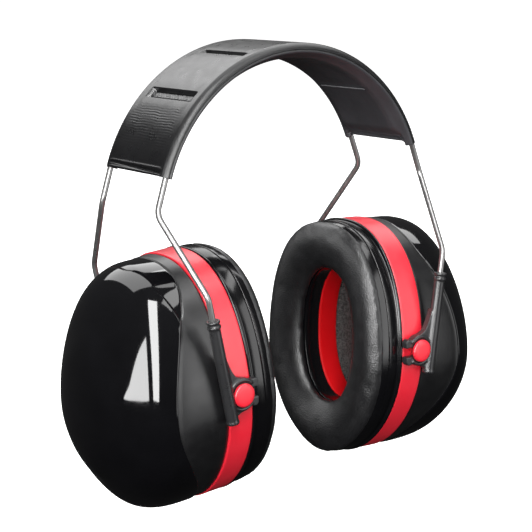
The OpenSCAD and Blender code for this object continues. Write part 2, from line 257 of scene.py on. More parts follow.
def smooth_curve(points, steps):
    """Catmull-Rom curve through points, which it passes exactly."""
    p = np.asarray(points, float)
    p = np.vstack([2 * p[0] - p[1], p, 2 * p[-1] - p[-2]])
    out = []
    for k in range(1, len(p) - 2):
        for t in np.arange(steps) / steps:
            a, b, c, d = p[k - 1], p[k], p[k + 1], p[k + 2]
            out.append(0.5 * (2 * b + (c - a) * t + (2 * a - 5 * b + 4 * c - d) * t * t
                              + (3 * b - a - 3 * c + d) * t ** 3))
    out.append(p[-2])
    return np.array(out).tolist()


def arc(middle, radius, start, end, steps):
    """Points of an arc between two angles in degrees."""
    turns = np.radians(np.linspace(start, end, steps))
    return [(middle[0] + radius * math.cos(a), middle[1] + radius * math.sin(a)) for a in turns]


def applied(obj):
    """Turns an object's modifiers into its mesh."""
    bpy.context.view_layer.update()
    done = bpy.data.meshes.new_from_object(obj.evaluated_get(bpy.context.evaluated_depsgraph_get()))
    obj.modifiers.clear()
    obj.data = done


def taken_apart(obj):
    """Points in millimetres and faces of an object that is no longer needed."""
    points, faces = vertices(obj) / MM, [tuple(f.vertices) for f in obj.data.polygons]
    bpy.data.objects.remove(obj)
    return points, faces


# ---- Materials ----

def add(tree, kind, **values):
    """A node with its inputs and properties set by name."""
    n = tree.nodes.new(kind)
    for key, v in values.items():
        if key in n.inputs:
            n.inputs[key].default_value = v
        else:
            setattr(n, key, v)
    return n


def link(output, to):
    to.id_data.links.new(output, to)


def set_inputs(node, values):
    for key, v in values.items():
        node.inputs[key].default_value = v


def new_material(name):
    """A material, its tree, its shader and the object's coordinates to place textures by."""
    m = bpy.data.materials.new(name)
    m.use_nodes = True
    t = m.node_tree
    return m, t, t.nodes["Principled BSDF"], add(t, "ShaderNodeTexCoord").outputs["Object"]


def noise(tree, coords, scale, detail=4.0, roughness=0.5, stretch=None):
    """Noise texture in the object's own space, optionally stretched along an axis."""
    n = add(tree, "ShaderNodeTexNoise", Scale=scale, Detail=detail, Roughness=roughness)
    source = coords
    if stretch is not None:
        m = add(tree, "ShaderNodeMapping")
        m.inputs["Scale"].default_value = stretch
        link(coords, m.inputs["Vector"])
        source = m.outputs["Vector"]
    link(source, n.inputs["Vector"])
    return n.outputs["Fac"]


def spread(tree, value, low, high, from_low=0.3, from_high=0.7):
    """Maps a texture's value to a range."""
    r = add(tree, "ShaderNodeMapRange")
    set_inputs(r, {"From Min": from_low, "From Max": from_high, "To Min": low, "To Max": high})
    link(value, r.inputs["Value"])
    return r.outputs["Result"]


def tint(tree, value, dark, light):
    """Colours between two, by a texture's value."""
    ramp = add(tree, "ShaderNodeValToRGB")
    ramp.color_ramp.elements[0].position = 0.3
    ramp.color_ramp.elements[1].position = 0.7
    ramp.color_ramp.elements[0].color = (*dark, 1)
    ramp.color_ramp.elements[1].color = (*light, 1)
    link(value, ramp.inputs["Fac"])
    return ramp.outputs["Color"]


def bump(tree, height, strength, distance, under=None):
    b = add(tree, "ShaderNodeBump", Strength=strength, Distance=distance)
    link(height, b.inputs["Height"])
    if under is not None:
        link(under, b.inputs["Normal"])
    return b.outputs["Normal"]


def cells(tree, coords, scale):
    """Distance from the middles of a cell pattern."""
    n = add(tree, "ShaderNodeTexVoronoi", Scale=scale)
    link(coords, n.inputs["Vector"])
    return n.outputs["Distance"]


def colour_and_gloss(tree, shader, colour_noise, dark, light, gloss_noise, rough):
    """Uneven tint and roughness, each by its own noise."""
    link(tint(tree, colour_noise, dark, light), shader.inputs["Base Color"])
    link(spread(tree, gloss_noise, *rough), shader.inputs["Roughness"])


def moulded(name, dark, light, rough, grain, grain_depth, wave_depth=0.0, coat=0.0, specular=0.5):
    """Moulded plastic: uneven tint and gloss, a fine skin texture and slow sink waves."""
    m, t, shader, at = new_material(name)
    colour_and_gloss(t, shader, noise(t, at, 60.0), dark, light, noise(t, at, 180.0, 6.0), rough)
    normal = bump(t, noise(t, at, grain, 3.0), 1.0, grain_depth)
    if wave_depth:
        normal = bump(t, noise(t, at, 45.0, 1.0), 1.0, wave_depth, normal)
    link(normal, shader.inputs["Normal"])
    set_inputs(shader, {"Coat Weight": coat, "Coat Roughness": 0.05, "Specular IOR Level": specular})
    return m


def vinyl():
    """Soft cushion skin: fine pores, faint stretch creases and a low even sheen."""
    m, t, shader, at = new_material("cushion_vinyl_skin")
    colour_and_gloss(t, shader, noise(t, at, 90.0, 5.0), (0.0045, 0.0045, 0.005), (0.008, 0.0081, 0.009),
                     noise(t, at, 240.0, 5.0), (0.34, 0.43))
    shader.inputs["Specular IOR Level"].default_value = 0.8
    pores = bump(t, cells(t, at, 1600.0), 1.0, 0.00008)
    normal = bump(t, noise(t, at, 520.0, 5.0, 0.6), 0.6, 0.00006, pores)
    link(normal, shader.inputs["Normal"])
    return m


def leatherette(name, rough, specular):
    """Headband cover: fine grain and cross creases."""
    m, t, shader, at = new_material(name)
    colour_and_gloss(t, shader, noise(t, at, 70.0, 6.0), (0.0035, 0.0035, 0.004), (0.006, 0.006, 0.0066),
                     noise(t, at, 200.0, 5.0), rough)
    shader.inputs["Specular IOR Level"].default_value = specular
    grain = bump(t, cells(t, at, 1300.0), 0.6, 0.00003)
    creases = noise(t, at, 420.0, 4.0, 0.6, stretch=(1.0, 0.12, 1.0))
    link(bump(t, creases, 0.3, 0.000018, grain), shader.inputs["Normal"])
    return m


def lining():
    """Underside of the headband: a thinner, duller skin with a fine weave pressed into it, its lighter tone
    painted light from below.
    """
    m, t, shader, at = new_material("band_lining_painted_light")
    colour_and_gloss(t, shader, noise(t, at, 80.0, 5.0), (0.026, 0.026, 0.029), (0.036, 0.036, 0.040),
                     noise(t, at, 220.0, 5.0), (0.4, 0.52))
    link(bump(t, cells(t, at, 1700.0), 0.5, 0.00004), shader.inputs["Normal"])
    return m


def steel():
    """Drawn stainless wire: fine streaks along it and a slightly uneven polish."""
    m, t, shader, at = new_material("spring_steel")
    tints = noise(t, at, 500.0, 4.0, stretch=(1.0, 1.0, 0.1))
    polish = noise(t, at, 900.0, 4.0, stretch=(1.0, 1.0, 0.06))
    streaks = noise(t, at, 1500.0, 2.0, stretch=(1.0, 1.0, 0.05))
    colour_and_gloss(t, shader, tints, (0.22, 0.217, 0.215), (0.32, 0.317, 0.314), polish, (0.26, 0.36))
    link(bump(t, streaks, 0.5, 0.00002), shader.inputs["Normal"])
    shader.inputs["Metallic"].default_value = 0.82
    return m


def foam():
    """Open-cell foam: speckled cells and a deep rough surface."""
    m, t, shader, at = new_material("open_cell_foam")
    pores = cells(t, at, 950.0)
    colour_and_gloss(t, shader, noise(t, at, 1100.0, 3.0), (0.016, 0.015, 0.015), (0.10, 0.093, 0.09),
                     pores, (0.8, 1.0, 0.0, 1.0))
    normal = bump(t, noise(t, at, 320.0, 4.0), 0.8, 0.0005, bump(t, pores, 1.0, 0.0004))
    link(normal, shader.inputs["Normal"])
    return m


# Polished shell plastic
GLOSS = moulded("gloss_black_abs", (0.0018, 0.0018, 0.0022), (0.0028, 0.0028, 0.0034),
                (0.035, 0.075), 2500.0, 0.000002, 0.00001, coat=0.4)

# The glossy band between cushion and ring: handled, so a little duller than the shell
EDGE = moulded("edge_black_abs", (0.002, 0.002, 0.0024), (0.0034, 0.0034, 0.004),
               (0.13, 0.19), 2500.0, 0.000004, 0.00001, specular=0.6)

# The shell's matt side
SATIN = moulded("satin_black_abs", (0.003, 0.003, 0.0035), (0.005, 0.005, 0.0056),
                (0.32, 0.40), 3500.0, 0.00001, specular=0.85)

# Slightly greyer, waxy plastic of the arms
ARM = moulded("arm_black_acetal", (0.012, 0.012, 0.013), (0.018, 0.018, 0.019),
              (0.26, 0.36), 3000.0, 0.00001, specular=0.7)

# Ring and buttons
RED = moulded("signal_red_abs", (0.60, 0.010, 0.024), (0.63, 0.0125, 0.028),
              (0.34, 0.44), 3000.0, 0.000008, specular=0.95)

# The same plastic inside the cup, unpolished; its darker, deeper red is painted shade of the chamber's
# inside
SHADED_CHAMBER_RED = moulded("chamber_red_abs_painted_shade", (0.50, 0.0018, 0.004), (0.55, 0.0026, 0.0056),
                      (0.5, 0.6), 3000.0, 0.000012, specular=0.2)

VINYL, LINING_PAINTED_LIGHT = vinyl(), lining()

# Skin pressed flat by the welding bar; its pale colour is a painted highlight along the weld lines
WELD_HIGHLIGHT = moulded("band_weld_line_painted_highlight", (0.17, 0.17, 0.178), (0.27, 0.27, 0.28),
               (0.35, 0.5), 2500.0, 0.00003)

LEATHER = leatherette("band_leatherette", (0.26, 0.34), 0.85)
EDGE_LEATHER = leatherette("band_edge_leatherette", (0.35, 0.44), 0.6)
STEEL, FOAM = steel(), foam()


def finish_piece(obj, body, nodes):
    """Hangs a piece on its body and lets it stand for its CAD nodes."""
    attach(obj, body)
    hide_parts(*nodes)


# ---- Outer shells ----

# Fullness of the dome's section along its depth, across it, and upright at the apex
DOME_FULLNESS, DOME_SIDE, DOME_END = 4.37, 2.18, 1.4
# How far the apex sits below the middle, and how the outline's fullness changes on the way there
DOME_DROP, TOP_EASE, BOTTOM_EASE = 3.69, 0.52, 0.11
# The matt side: least and extra share of the dome's depth, reach either way of the pivots, recess
SATIN_LEAST, SATIN_MOST, SATIN_REACH, RECESS = 0.13, 0.39, math.radians(68), 0.55
# The upper facet: share of the depth where it ends, and how much is planed off
CREASE_SHARE, CREASE_DEPTH = 0.36, 0.8
SHELL_WALL = 2.2


def dome_ring(share, inset=0.0, depth=DOME_DEPTH):
    """Outline of the dome. share is how deep it is, from 0 at the rim to 1 at the apex, for each point."""
    s = np.broadcast_to(share, (AROUND,)).astype(float)
    left = 1 - s ** DOME_FULLNESS
    end = DOME_END + (2.0 - DOME_END) * smooth_step((s - 0.82) / 0.18)
    across, upward = left ** (1 / DOME_SIDE), left ** (1 / end)
    high = np.sin(TURN) > 0
    p = np.where(high, CUP_FULLNESS[0] - TOP_EASE * s, CUP_FULLNESS[1] + BOTTOM_EASE * s)
    h = np.where(high, CUP_UP * (1 + 0.04 * s), CUP_DOWN * (1 - 0.10 * s)) * upward - inset
    y = (CUP_W * across - inset) * bulge(np.cos(TURN), p)
    z = CUP_MID - DOME_DROP * s + h * bulge(np.sin(TURN), p)
    return np.stack([SHELL_X + depth * s, y, z], 1)


def turned_from(degrees):
    """How far each point of an outline is turned from an angle, in degrees."""
    return np.abs((np.degrees(TURN) - degrees + 180) % 360 - 180)


def satin_edge():
    """Share of the dome's depth where the matt side ends, deepest level with the pivots."""
    from_pivot = np.radians(np.minimum(turned_from(179), turned_from(1)))
    d = np.clip(from_pivot / SATIN_REACH, 0, 1)
    return SATIN_LEAST + SATIN_MOST * np.cos(d * math.pi / 2) ** 2


def crease_edge():
    """Share of the dome's depth where its upper facet ends."""
    return CREASE_SHARE - 0.0001 * np.clip(turned_from(90) - 20, 0, 60) ** 1.9


def share_by_length():
    """Shares of the dome's depth, evenly spaced along its section."""
    s = np.linspace(0, 1, 4000) ** 0.5
    k = (1 - s ** DOME_FULLNESS) ** (1 / DOME_SIDE)
    length = np.concatenate([[0], np.cumsum(np.hypot(np.diff(DOME_DEPTH * s), np.diff(50 * k)))])
    return s, length / length[-1]


def fair(rings, first, times):
    """Evens out a skin from one ring on, to take ripples out of its reflections."""
    g = rings.copy()
    for _ in range(times):
        middle = g[-1].mean(0)
        inner = np.vstack([g[1:], np.broadcast_to(middle, g[:1].shape)])
        near = (np.roll(g, 1, 1) + np.roll(g, -1, 1) + np.vstack([g[:1], g[:-1]]) + inner) / 4
        g[first:] += 0.5 * (near - g)[first:]
    return g


def shell_rings():
    """Rings of the shell from its inner middle, round the rim, to the apex, and the first gloss row."""
    inner = [dome_ring(s, SHELL_WALL, DOME_DEPTH - SHELL_WALL)
             for s in (0.985, 0.94, 0.88, 0.78, 0.65, 0.5, 0.3, 0.0)]
    edge, crease = satin_edge(), crease_edge()
    rows = [dome_ring(0.0, 1.4), dome_ring(0.0, RECESS + 0.35), dome_ring(0.006, RECESS + 0.1)]
    rows += [dome_ring(edge * t, RECESS) for t in np.linspace(0.08, 1, 10)]
    first_gloss = len(inner) + len(rows)
    s, length = share_by_length()
    for ahead, inset in ((0.002, 0.5), (0.006, 0.22), (0.011, 0.07), (0.018, 0.01)):
        rows.append(dome_ring(edge + ahead, inset + facet(edge + ahead, crease, edge)))
    start = np.interp(edge + 0.024, s, length)
    for t in np.linspace(0, 1, 96)[:-1]:
        share = np.interp(start + (1 - start) * t, length, s)
        rows.append(dome_ring(share, facet(share, crease, edge)))
    rings = np.array(inner + rows)
    return fair(rings, first_gloss + 50, 12), first_gloss


def facet(share, crease, edge):
    """How far the upper facet is planed off under the dome."""
    slope = CREASE_DEPTH / (CREASE_SHARE - SATIN_LEAST)
    on_top = smooth_step((crease - edge) / 0.05)
    return slope * np.clip(crease - share, 0, None) * on_top


def outer_shell(side):
    """Glossy dome with its matt side."""
    rings, first_gloss = shell_rings()
    points, faces = loft(rings)
    shine = [1 if f[1] // AROUND < first_gloss else 0 for f in faces]
    piece = mesh_piece(f"{side}_shell", place(points, side), faces, GLOSS, (SATIN,), shine)
    finish_piece(piece, f"{side}_cup", [f"{side}_outer_shell"])


# ---- Casing ring, plate, inner casing, foam ----

# The glossy band between cushion and ring: its start, end, least inset and crown, and where its seam is
EDGE_START, EDGE_END, EDGE_INSET, EDGE_CROWN = FACE_X + 4.75, RING_X - 1.8, 0.42, 0.7
EDGE_SEAM = PLATE_X + 0.3


def cup_piece(side, name, rings, material, node, poles=True):
    """A piece of a cup lofted through rings, which stands for its CAD node."""
    points, faces = loft(rings, poles)
    piece = mesh_piece(f"{side}_{name}", place(points, side), faces, material)
    finish_piece(piece, f"{side}_cup", [f"{side}_{node}"])


def profile_rings(profile, outline=cup_ring):
    """Rings of the cup from (x, inset) pairs, or of the ear opening from (x, grow) pairs."""
    return [outline(x, away) for x, away in profile]


def casing_ring(side):
    """Red band round the cup, between plate and shell."""
    a, b = RING_X + 0.12, SHELL_X - 0.12
    profile = [(a, 2.2), (a, 0.4), (a + 0.08, 0.16), (a + 0.35, 0.0), (a + 1, 0.0)]
    profile += [(x, 0.0) for x in np.linspace(a + 2, b - 2, 8)]
    profile += [(b - 1, 0.0), (b - 0.35, 0.0), (b - 0.08, 0.16), (b, 0.4), (b, 2.2)]
    cup_piece(side, "ring", profile_rings(profile), RED, "casing_ring", poles=False)


def crowned(start, stop):
    """(x, inset) pairs of a stretch of the glossy band, which runs over the cushion's rim and the plate."""
    along = np.linspace(start, stop, 9)
    from_middle = (2 * along - EDGE_START - EDGE_END) / (EDGE_END - EDGE_START)
    return list(zip(along, EDGE_INSET + EDGE_CROWN * from_middle ** 2))


def cushion_plate(side):
    """Plate under the cushion, with a lip against the ring and a collar round the ear opening."""
    a, b, c = EDGE_SEAM, RING_X, COLLAR_END
    profile = [(a, 2.6), *crowned(a, EDGE_END), (b - 1.6, 0.5), (b - 1.45, -0.02), (b - 1.15, -0.28),
               (b - 0.5, -0.28), (b - 0.2, -0.15), (b - 0.05, 0.2), (b, 0.8), (b, 2.6), (a + 1.5, 2.6)]
    collar = [(a + 1.5, 3.4), (a + 2.2, 2.7), (c - 0.3, 2.7), (c, 2.4), (c, 0.9), (c - 0.3, 0.55),
              (c - 1, 0.5), (a + 4, 0.5), (a + 0.15, 0.5), (a, 0.65)]
    rings = profile_rings(profile) + profile_rings(collar, ear_ring)
    cup_piece(side, "plate", rings, EDGE, "cushion_plate", poles=False)


def inner_casing(side):
    """Red chamber: its sleeve lines the ear opening and shows behind the cushion and the plate's collar."""
    lip, deck, end, middle, back = CASING_LOW[0], 46.0, SLEEVE_END, 60.0, CASING_HIGH[0]
    wall, outside, gap = 2.2, 8.0, 0.5
    inside, sleeve = outside + wall, gap + wall
    outer = [(back, outside + 1.5), (back - 0.4, outside + 0.3), (back - 1.5, outside), (middle, outside),
             (deck + 1.0, outside), (deck, outside + 0.5)]
    through = [(deck, sleeve + 0.6), (deck - 0.5, sleeve), (lip + 0.3, sleeve), (lip, 2.3), (lip, 1.0),
               (lip + 0.3, 0.6), (lip + 1.0, gap), (deck, gap), (end - 1.2, gap), (end - 0.4, 0.6),
               (end, 1.0), (end, 2.2), (end - 0.4, sleeve), (deck + 2.6, sleeve), (deck + 2, 3.4)]
    inner = [(deck + 2, inside + 0.4), (deck + 2.4, inside), (middle, inside),
             (back - wall - 0.5, inside), (back - wall, inside + 0.5)]
    rings = [shrink(cup_ring(back, outside + 0.5), 0.3, back), *profile_rings(outer),
             *profile_rings(through, ear_ring), *profile_rings(inner),
             shrink(cup_ring(back, inside), 0.3, back - wall)]
    cup_piece(side, "chamber", rings, SHADED_CHAMBER_RED, "inner_casing")


def foam_liner(side):
    """Foam block behind the ear, with a soft-edged hollow and an uneven cut surface."""
    near, far, inset, floor = LINER_LOW[0] + 0.1, LINER_HIGH[0], 10.7, 59.5
    outside = [(far, inset + 1), (far - 1, inset), (near + 1, inset), (near, inset + 1)]
    brink = [(near, 5.5), (near + 0.1, 3.6)]
    block = [shrink(cup_ring(far, inset), 0.3, far)]
    block += profile_rings(outside) + profile_rings(brink, ear_ring)
    hollow = profile_rings([(near + 0.8, 3.1), (near + 3, 3.1), (near + 7, 3.1), (floor - 3, 1.9),
                            (floor - 1, 0.2), (floor - 0.2, -2.0)], ear_ring)
    hollow += [shrink(ear_ring(floor, -2.0), s, floor) for s in np.linspace(0.95, 0.05, 16)]
    rings = np.array(block + hollow)
    waver = (np.sin(rings[..., 1] * 0.9 + rings[..., 0]) + np.sin(rings[..., 2] * 0.7 + 1.3)) * 0.18
    rings[len(block):, :, 0] += waver[len(block):]
    cup_piece(side, "liner", rings, FOAM, "foam_liner")


# ---- Cushions ----

# Stations round a cushion's section as (share from rim to ear opening, distance from its face)
CUSHION_SECTION = [(0.07, 8.35), (0.06, 7.0), (0.055, 5.8), (0.035, 5.0), (0.006, 4.4), (-0.01, 3.6),
                   (0.01, 2.3), (0.07, 1.0), (0.19, 0.25), (0.42, 0.0), (0.62, 0.25), (0.77, 1.0),
                   (0.89, 2.3), (0.97, 4.2), (1.0, 6.4), (0.99, 8.5)]
PAD_THICK, HELD_DEPTH = 8.5, 5.2


def cushion_loft():
    """Points and faces of the ring-shaped pad: crowned face, outer roll, and a lip down to the ear."""
    rim, hole = cup_ring(0.0), ear_ring(0.0)
    rings = []
    back = [(share, PAD_THICK) for share in (0.85, 0.6, 0.3, 0.12)]
    for share, depth in smooth_curve(CUSHION_SECTION, 4) + back:
        ring = rim + (hole - rim) * share
        ring[:, 0] = FACE_X + depth
        rings.append(ring)
    return loft(rings, poles=False)


# The pad is puffed at a larger size, where the cloth's pressure is in proportion to its weight
PUFF_SCALE, PUFF_VOXEL, PUFF_CAP, SLACK = 8.0, 1.5, 1.1, 0.55
PUFF_PRESSURE, PUFF_FRAMES = 4.0, 20


def puffed(points, faces):
    """The pad's skin under pressure, held where it is welded to its back, by cloth simulation."""
    skin = closed_mesh("pad_skin", points * PUFF_SCALE, faces)
    skin.modifiers.new("even", "REMESH").voxel_size = PUFF_VOXEL * PUFF_SCALE * MM
    applied(skin)
    start = vertices(skin)
    normals = np.array([v.normal for v in skin.data.vertices])
    depth = start[:, 0] / MM / PUFF_SCALE - FACE_X
    loose = smooth_step((HELD_DEPTH - depth) / 1.5)
    slack = start - normals * (loose * SLACK * PUFF_SCALE * MM)[:, None]
    skin.data.vertices.foreach_set("co", slack.ravel())
    held = skin.vertex_groups.new(name="held")
    held.add([int(i) for i in np.nonzero(loose < 0.05)[0]], 1.0, "REPLACE")
    cloth = skin.modifiers.new("cloth", "CLOTH")
    cloth.settings.quality = 6
    cloth.settings.use_pressure = True
    cloth.settings.uniform_pressure_force = PUFF_PRESSURE
    cloth.settings.vertex_group_mass = "held"
    cloth.settings.effector_weights.gravity = 0.0
    cloth.point_cache.frame_start, cloth.point_cache.frame_end = 1, PUFF_FRAMES
    for frame_number in range(1, PUFF_FRAMES + 1):
        bpy.context.scene.frame_set(frame_number)
    applied(skin)
    bpy.context.scene.frame_set(1)
    moved = vertices(skin) - start
    far = np.linalg.norm(moved, axis=1)[:, None] + 1e-12
    cap = PUFF_CAP * PUFF_SCALE * MM
    skin.data.vertices.foreach_set("co", (start + moved * np.minimum(1, cap / far)).ravel())
    smoothing = skin.modifiers.new("smooth", "SMOOTH")
    smoothing.factor, smoothing.iterations = 0.5, 8
    skin.modifiers.new("finer", "SUBSURF").levels = 1
    applied(skin)
    points, faces = taken_apart(skin)
    return points / PUFF_SCALE, faces


def cushion(side, points, faces):
    piece = mesh_piece(f"{side}_cushion", place(points, side), faces, VINYL)
    finish_piece(piece, f"{side}_cup", [f"{side}_cushion_skin", f"{side}_cushion_filling"])
    return piece


def cushion_rim(side):
    """Stiff glossy edge that the cushion's skin is welded to, flush with the plate."""
    front, back = EDGE_START, EDGE_SEAM - 0.01
    profile = [(front + 0.3, 2.4), (front, 1.6), *crowned(front, back), (back, 2.4)]
    cup_piece(side, "cushion_rim", profile_rings(profile), EDGE, "cushion_skin",
              poles=False)


# ---- Pivot buttons ----

def end_piece(side, end, name, points, faces, material):
    """A piece in front of a cup or behind it, from the points of the right rear one."""
    if end == "front":
        points = points * (1, -1, 1)
    return mesh_piece(f"{side}_{end}_{name}", place(points, side, lean=False), faces, material)


def pivot_button(side, end):
    """Round-edged head on a neck and spigot, turned about the pivot."""
    low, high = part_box("right_rear_pivot_button")
    face, foot = -low.y / MM, -high.y / MM
    r = (high.x - low.x) / MM / 2
    profile = [(0.5, foot), (1.9, foot), (2.0, foot + 0.3), (2.0, foot + 4.9), (3.0, foot + 5.0),
               (3.0, face - 2.05), (r - 0.4, face - 2.0), (r - 0.1, face - 1.9), (r, face - 1.6),
               (r, face - 1.0), (r - 0.08, face - 0.7), (r - 0.3, face - 0.42), (r - 0.7, face - 0.22),
               (r - 1.3, face - 0.1), (r - 2.4, face - 0.03), (0.5, face)]
    piece = end_piece(side, end, "button", *about_pivot(profile), RED)
    finish_piece(piece, f"{side}_cup", [f"{side}_{end}_pivot_button"])


# ---- Wires ----

# The arm tube's distance from the pivot and from the middle; the wire's bends and its end in the tube
ARM_OFFSET, ARM_Y = 7.2, 45.2
BEND_R, SHOULDER_DROP, LOWER_BEND_Z, WIRE_END = 8.0, 15.5, 43.9, -5.5


def tube_point(along):
    """Point on the right rear arm's tube axis."""
    x = PIVOT_X + ARM_OFFSET + along * math.sin(ARM_LEAN)
    return np.array([x, -ARM_Y, along * math.cos(ARM_LEAN)])


def rounded(before, corner, after):
    """Points of the arc that takes a corner at the wire's bend radius."""
    a = (corner - before) / np.linalg.norm(corner - before)
    b = (after - corner) / np.linalg.norm(after - corner)
    turn = math.acos(float(np.clip(a @ b, -1, 1)))
    reach = BEND_R * math.tan(turn / 2)
    inward = b - a * (a @ b)
    inward /= np.linalg.norm(inward)
    centre = corner - a * reach + inward * BEND_R
    return [centre - inward * BEND_R * math.cos(t) + a * BEND_R * math.sin(t)
            for t in np.linspace(0, turn, 9)]


def wire_path():
    """Right rear half of a spring wire, from the crown to its end in the arm."""
    at = np.linspace(0, BAND_HALF, 60)
    path = [np.array([WIRE_RADIUS * math.sin(t), -WIRE_Y, BAND_Z + WIRE_RADIUS * math.cos(t)])
            for t in at]
    way = np.array([math.cos(BAND_HALF), 0, -math.sin(BAND_HALF)])
    upper = path[-1] + way * SHOULDER_DROP
    lower = tube_point(LOWER_BEND_Z / math.cos(ARM_LEAN))
    low = tube_point(WIRE_END)
    path += rounded(path[-1], upper, lower) + rounded(upper, lower, low)
    return path + [tube_point(30.0), tube_point(15.0), tube_point(0.0), low]


def sweep(path, radius, sides=24):
    """Rings of a round tube along a path, without twist."""
    path = np.array(path)
    ways = np.gradient(path, axis=0)
    ways /= np.linalg.norm(ways, axis=1)[:, None]
    across = np.array([0.0, 1.0, 0.0])
    rings = []
    for p, w in zip(path, ways):
        across = across - w * (across @ w)
        across /= np.linalg.norm(across)
        other = np.cross(w, across)
        a = np.arange(sides) * 2 * math.pi / sides
        rings.append(p + radius * (np.outer(np.cos(a), across) + np.outer(np.sin(a), other)))
    return rings


# ---- Arms ----

# The right rear arm in its own plane: x outboard of the pivot, z up, depth away from the middle
EYE_NEAR, EYE_FAR = 42.6, 45.8
EYE_R, CLAW_REACH, CLAW_GAP = 7.2, 8.2, 4.2
NECK_BORE_R, HEAD_POCKET_R, WIRE_BORE_R = 3.05, 5.3, 1.42
ARM_TOP, ARM_FOOT, FOOT_WALL, ARM_VOXEL = 34.8, 12.0, 1.4, 0.26


def from_arm(points):
    """Points given as (x, depth, z) in the arm's plane, moved to the right rear arm."""
    p = np.asarray(points, float)
    return np.stack([PIVOT_X + p[:, 0], -p[:, 1], p[:, 2]], 1)


def turned(profile, steps=40):
    """Points and faces of a solid turned about the tube's axis, from (radius, distance along) pairs."""
    points, faces = loft(lathe(profile, steps))
    c, s = math.cos(ARM_LEAN), math.sin(ARM_LEAN)
    leaned = np.stack([ARM_OFFSET + points[:, 0] * c + points[:, 2] * s, ARM_Y + points[:, 1],
                       points[:, 2] * c - points[:, 0] * s], 1)
    return from_arm(leaned), faces


def about_pivot(profile, steps=64):
    """Points and faces of a solid turned about the pivot's axis, from (radius, depth) pairs."""
    points, faces = loft(lathe(profile, steps))
    return from_arm(points[:, [0, 2, 1]]), faces


def arm_tube():
    """Tapered tube with a flared mouth, a second collar under it and a rim at its foot."""
    top, foot = ARM_TOP, -ARM_FOOT
    rim = [(0.4, foot), (2.2, foot), (2.75, foot + 0.25), (2.9, foot + 0.7), (2.85, foot + 1.3),
           (2.68, foot + 1.7)]
    collar = [(2.5, top - 4.2), (2.52, top - 3.7), (2.9, top - 3.4), (2.98, top - 3.0), (2.95, top - 2.5),
              (2.75, top - 2.2)]
    mouth = [(2.42, top - 2.05), (2.4, top - 1.5), (2.8, top - 1.3), (3.02, top - 1.0), (3.05, top - 0.5),
             (2.9, top - 0.12), (2.6, top), (2.2, top - 0.05), (1.7, top - 0.55), (0.4, top - 0.6)]
    return turned(rim + collar + mouth)


def eye_outline():
    """Outline of the open eye, its claws and the curved webs to the tube, as (x, z)."""
    half = CLAW_GAP / 2
    web = smooth_curve([(0.6, EYE_R + 0.1), (3.0, 8.4), (4.8, 10.8), (6.3, 13.8), (7.9, 18.0)], 5)
    low_web = smooth_curve([(4.4, -10.2), (2.6, -8.6), (0.6, -7.6), (-2.0, -6.95)], 4)
    tip = (-CLAW_REACH + 1.7, 4.4)
    claw = arc(tip, 1.7, 175, 100, 6) + arc((0, 0), EYE_R, 128, 92, 6)
    low_claw = [(x, -z) for x, z in arc((0, 0), EYE_R, 112, 128, 4) + arc(tip, 1.7, 100, 175, 6)]
    opening = math.degrees(math.asin(half / NECK_BORE_R))
    bore = arc((0, 0), NECK_BORE_R, -180 + opening, 180 - opening, 40)
    return ([(-CLAW_REACH, half)] + claw + web + [(9.5, 18.0), (6.4, -10.2)]
            + low_web + low_claw + [(-CLAW_REACH, -half)] + bore)


def eye_plate():
    """The flat eye between the tube and the pivot."""
    outline = eye_outline()
    n = len(outline)
    points = [(x, d, z) for d in (EYE_NEAR, EYE_FAR) for x, z in outline]
    faces = [tuple(range(n)), tuple(range(2 * n - 1, n - 1, -1))]
    faces += [(i, (i + 1) % n, n + (i + 1) % n, n + i) for i in range(n)]
    return from_arm(points), faces


def eye_rim():
    """Round bead that stands up round the button's head, with round ends."""
    radius, thick, reach = 6.3, 0.8, 138
    turns = np.radians(np.linspace(-reach, reach, 70))
    path = [(radius * math.cos(a), EYE_FAR - 0.1, radius * math.sin(a)) for a in turns]
    return loft(sweep(from_arm(path), thick, 16))


def right_rear_arm():
    """The arm as one moulding: its solids flow together, then its bores are cut."""
    arm = joined("arm_moulding", [arm_tube(), eye_plate(), eye_rim()])
    skin = arm.modifiers.new("skin", "REMESH")
    skin.mode = "VOXEL"
    skin.voxel_size = ARM_VOXEL * MM
    even = arm.modifiers.new("even", "SMOOTH")
    even.factor, even.iterations = 0.5, 5
    wire_way = turned([(WIRE_BORE_R, FOOT_WALL - ARM_FOOT), (WIRE_BORE_R, ARM_TOP + 1)])
    head_pocket = about_pivot([(HEAD_POCKET_R, EYE_FAR), (HEAD_POCKET_R, EYE_FAR + 6)], 72)
    neck_bore = about_pivot([(NECK_BORE_R, 40), (NECK_BORE_R, 47)], 72)
    cutters = [closed_mesh("cutter", *c) for c in (wire_way, head_pocket, neck_bore)]
    for cutter in cutters:
        cut = arm.modifiers.new("cut", "BOOLEAN")
        cut.operation, cut.solver, cut.object = "DIFFERENCE", "EXACT", cutter
    applied(arm)
    for cutter in cutters:
        bpy.data.objects.remove(cutter)
    return taken_apart(arm)


def arm(side, end, points, faces):
    piece = end_piece(side, end, "arm_moulding", points, faces, ARM)
    piece.data.set_sharp_from_angle(angle=math.radians(50))
    finish_piece(piece, f"{side}_arms", [f"{side}_{end}_arm"])


def bend_with(obj, nodes):
    """Bakes a piece's placement into its mesh and lets it stand for its CAD nodes."""
    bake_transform(obj)
    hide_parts(*nodes)


def half_wire(side, end):
    """One side of a spring wire, from the crown down into its arm."""
    piece = end_piece(side, end, "wire", *loft(sweep(wire_path(), WIRE_R)), STEEL)
    bend_with(piece, [f"{end}_spring_wire", f"{side}_{end}_wire_leg"])


# ---- Headband cover ----

# Each welded groove's angle from the middle, half its width and how far forward it runs
GROOVES = ((math.radians(17.6), 1.5, 13.5), (math.radians(41.9), 2.7, 15.5))
GROOVE_DEPTH, GROOVE_REACH, MOAT_DEPTH = 1.7, 18.3, 1.2
